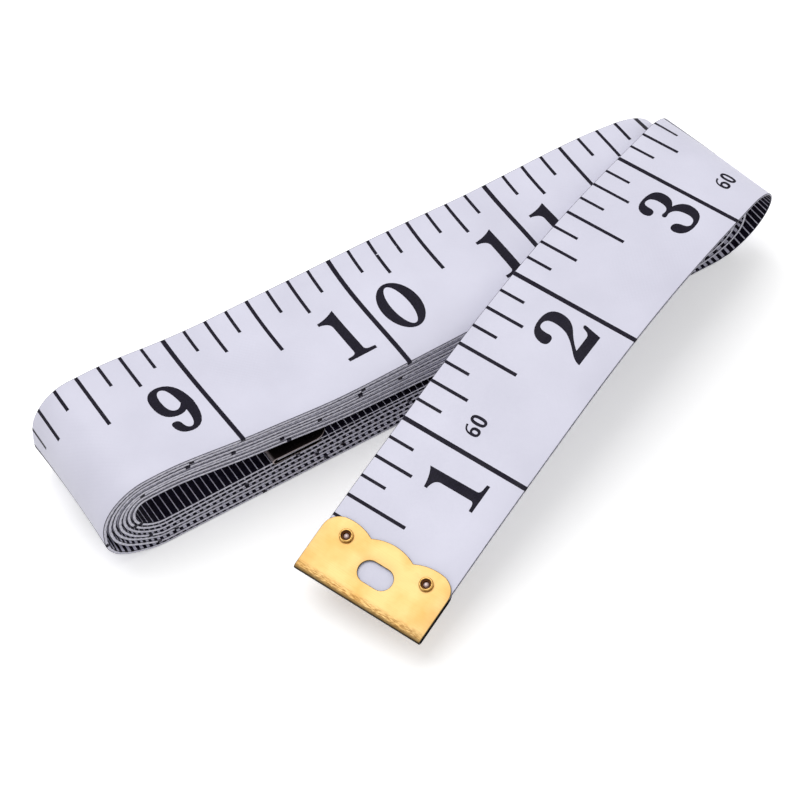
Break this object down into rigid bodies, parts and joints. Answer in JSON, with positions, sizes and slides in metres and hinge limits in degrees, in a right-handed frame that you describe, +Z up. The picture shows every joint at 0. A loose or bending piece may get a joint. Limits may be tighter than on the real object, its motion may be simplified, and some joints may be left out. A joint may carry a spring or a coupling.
{
  "type": "cloth tape measure",
  "caption": "Cloth tape measure wound flat by hand, with a folded brass clip on each end and its free end laid across the coil.",
  "frame": {"origin": "on the table, under the middle of the part's box", "axes": "+X along the flat coil, towards its curl; +Y from the front clip's side to the coil's far side; +Z up"},
  "size_m": [0.1052, 0.0531, 0.0175],
  "materials": {
    "tape": "satin coating on woven cloth, printed black",
    "clip": "satin, brushed across the tape",
    "rivet": "satin, dark in the dimple"
  },
  "bodies": {
    "coil": {"tape_coil": "tape", "back_clip": "clip", "back_rivet_left": "rivet", "back_rivet_right": "rivet"},
    "free_end": {"tape_free_end": "tape"},
    "tip": {"tape_tip": "tape", "front_clip": "clip", "front_rivet_left": "rivet", "front_rivet_right": "rivet"}
  },
  "joints": [
    {"name": "free_end_lift", "type": "hinge", "parent": "coil", "child": "free_end", "pos_m": [0.03748, 0.00974, 0.01633], "axis": [-0.3741, 0.9272, 0.021], "range_deg": [0, 65]},
    {"name": "tip_lift", "type": "hinge", "parent": "free_end", "child": "tip", "pos_m": [0.00907, -0.0017, 0.01638], "axis": [-0.3741, 0.9272, 0.021], "range_deg": [0, 60]}
  ]
}
